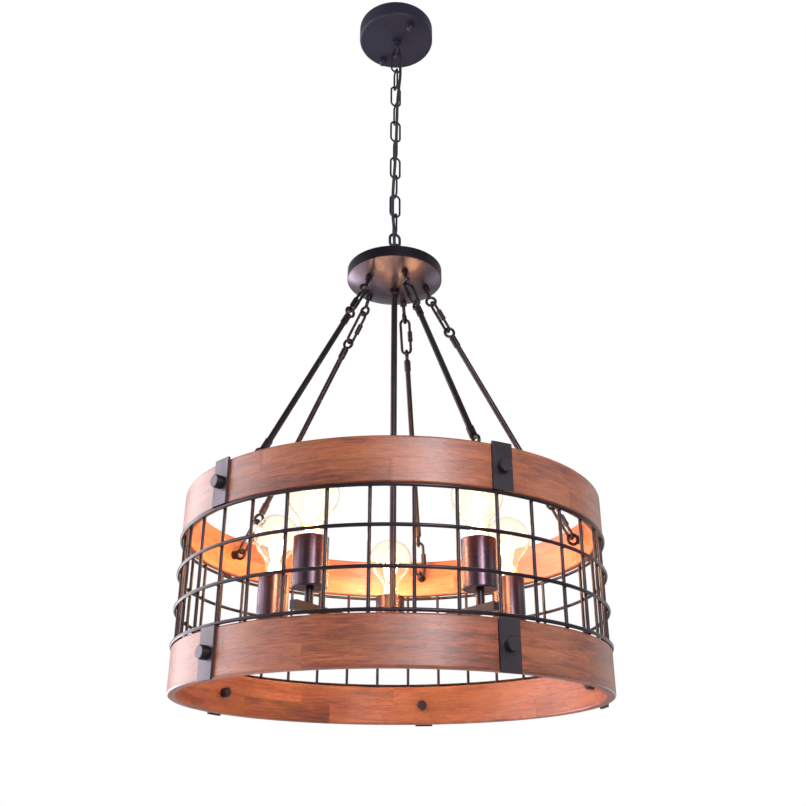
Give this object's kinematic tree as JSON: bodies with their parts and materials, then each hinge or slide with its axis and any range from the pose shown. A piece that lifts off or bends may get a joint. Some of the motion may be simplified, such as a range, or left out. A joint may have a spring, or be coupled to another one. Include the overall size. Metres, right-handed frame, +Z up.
{
  "type": "drum chandelier",
  "caption": "Hanging drum chandelier: wooden rings joined by a wire cage, hung on slanted rods and a chain, with a cluster of lit bulbs inside.",
  "frame": {"origin": "on the chandelier's upright axis, in the ceiling plane, midway between the two box screws", "axes": "+Z up into the ceiling, -Y towards the viewer of the picture, +X to that viewer's right"},
  "size_m": [0.5319, 0.5296, 1.0615],
  "materials": {
    "black_metal": "matte black powder coat",
    "bronze_cup": "dark bronze, satin gloss",
    "wood": "reddish-brown stained timber, satin lacquer",
    "cord_cover": "matte black cord",
    "insulator": "matte moulded",
    "screw_shell": "plain rolled",
    "bulb_cap": "satin",
    "clear_glass": "clear, lit warm"
  },
  "bodies": {
    "ceiling": {"ceiling_bracket": "black_metal", "canopy_studs": "black_metal", "canopy_cap_nuts": "black_metal", "canopy": "black_metal", "canopy_loop": "black_metal", "canopy_locknut": "black_metal", "canopy_terminal": "insulator"},
    "chain_top": {"chain_top_link": "black_metal"},
    "chain": {"chain_links": "black_metal", "supply_cord": "cord_cover"},
    "chain_bottom": {"chain_bottom_link": "black_metal"},
    "fixture": {"dish_bowl": "black_metal", "dish_cover": "black_metal", "dish_loop": "black_metal", "cord_bushing": "insulator", "dish_terminal": "insulator", "dish_eyes": "black_metal", "dish_eye_nuts": "black_metal", "thread_nuts": "black_metal", "stem": "black_metal", "stem_collar": "black_metal", "stem_cable": "cord_cover", "hub_body": "black_metal", "hub_cover": "black_metal", "lamp_arms": "black_metal", "arm_leads": "cord_cover", "lamp_nipples": "black_metal", "socket_cups": "bronze_cup", "lampholders": "insulator", "holder_shells": "screw_shell"},
    "drum": {"upper_wood_ring": "wood", "lower_wood_ring": "wood", "cage_hoops": "black_metal", "cage_wires": "black_metal", "upper_straps": "black_metal", "lower_straps": "black_metal", "strap_knobs": "black_metal", "eye_bolts": "black_metal", "lower_bolts": "black_metal", "lower_nuts": "black_metal"},
    "hanger_1": {"hanging_rod_1": "black_metal", "rod_links_1": "black_metal"},
    "bulb_1": {"bulb_glass_1": "clear_glass", "bulb_base_1": "bulb_cap"},
    "hanger_2": {"hanging_rod_2": "black_metal", "rod_links_2": "black_metal"},
    "bulb_2": {"bulb_glass_2": "clear_glass", "bulb_base_2": "bulb_cap"},
    "hanger_3": {"hanging_rod_3": "black_metal", "rod_links_3": "black_metal"},
    "bulb_3": {"bulb_glass_3": "clear_glass", "bulb_base_3": "bulb_cap"},
    "hanger_4": {"hanging_rod_4": "black_metal", "rod_links_4": "black_metal"},
    "bulb_4": {"bulb_glass_4": "clear_glass", "bulb_base_4": "bulb_cap"},
    "hanger_5": {"hanging_rod_5": "black_metal", "rod_links_5": "black_metal"},
    "bulb_5": {"bulb_glass_5": "clear_glass", "bulb_base_5": "bulb_cap"}
  },
  "joints": [
    {"name": "chain_side_sway", "type": "hinge", "parent": "ceiling", "child": "chain_top", "pos_m": [0, 0, -0.0545], "axis": [-0.309, 0.9511, 0], "range_deg": [-30, 30], "deforming": ["supply_cord"]},
    {"name": "chain_front_sway", "type": "hinge", "parent": "chain_top", "child": "chain", "pos_m": [0, 0, -0.089], "axis": [0.9511, 0.309, 0], "range_deg": [-30, 30], "deforming": ["supply_cord"]},
    {"name": "fixture_front_tilt", "type": "hinge", "parent": "chain", "child": "chain_bottom", "pos_m": [0, 0, -0.369], "axis": [0.9511, 0.309, 0], "range_deg": [-20, 20], "deforming": ["supply_cord"]},
    {"name": "fixture_side_tilt", "type": "hinge", "parent": "chain_bottom", "child": "fixture", "pos_m": [0, 0, -0.404], "axis": [-0.309, 0.9511, 0], "range_deg": [-20, 20], "deforming": ["supply_cord"]},
    {"name": "drum_twist", "type": "hinge", "parent": "fixture", "child": "drum", "pos_m": [0, 0, -0.8255], "axis": [0, 0, 1], "range_deg": [-5, 5]},
    {"name": "rod_swing_1", "type": "hinge", "parent": "fixture", "child": "hanger_1", "pos_m": [0.01612, 0.05268, -0.5187], "axis": [0.136, 0.8662, 0.4808], "range_deg": [-3.2, 3.2]},
    {"name": "rod_swing_2", "type": "hinge", "parent": "fixture", "child": "hanger_2", "pos_m": [-0.04512, 0.03161, -0.5187], "axis": [-0.7818, 0.3971, 0.4808], "range_deg": [-3.2, 3.2]},
    {"name": "rod_swing_3", "type": "hinge", "parent": "fixture", "child": "hanger_3", "pos_m": [-0.04401, -0.03314, -0.5187], "axis": [-0.6192, -0.6208, 0.4808], "range_deg": [-3.2, 3.2]},
    {"name": "rod_swing_4", "type": "hinge", "parent": "fixture", "child": "hanger_4", "pos_m": [0.01792, -0.0521, -0.5187], "axis": [0.3991, -0.7808, 0.4808], "range_deg": [-3.2, 3.2]},
    {"name": "rod_swing_5", "type": "hinge", "parent": "fixture", "child": "hanger_5", "pos_m": [0.05508, 0.00095, -0.5187], "axis": [0.8659, 0.1383, 0.4808], "range_deg": [-3.2, 3.2]},
    {"name": "bulb_release_1", "type": "slide", "parent": "fixture", "child": "bulb_1", "axis": [0, 0, 1], "range_m": [0, 0.03]},
    {"name": "bulb_release_2", "type": "slide", "parent": "fixture", "child": "bulb_2", "axis": [0, 0, 1], "range_m": [0, 0.03]},
    {"name": "bulb_release_3", "type": "slide", "parent": "fixture", "child": "bulb_3", "axis": [0, 0, 1], "range_m": [0, 0.03]},
    {"name": "bulb_release_4", "type": "slide", "parent": "fixture", "child": "bulb_4", "axis": [0, 0, 1], "range_m": [0, 0.03]},
    {"name": "bulb_release_5", "type": "slide", "parent": "fixture", "child": "bulb_5", "axis": [0, 0, 1], "range_m": [0, 0.03]}
  ],
  "couplings": [
    {"joint": "rod_swing_1", "follows": "drum_twist", "ratio": 0.62491},
    {"joint": "rod_swing_2", "follows": "drum_twist", "ratio": 0.62491},
    {"joint": "rod_swing_3", "follows": "drum_twist", "ratio": 0.62491},
    {"joint": "rod_swing_4", "follows": "drum_twist", "ratio": 0.62491},
    {"joint": "rod_swing_5", "follows": "drum_twist", "ratio": 0.62491}
  ]
}
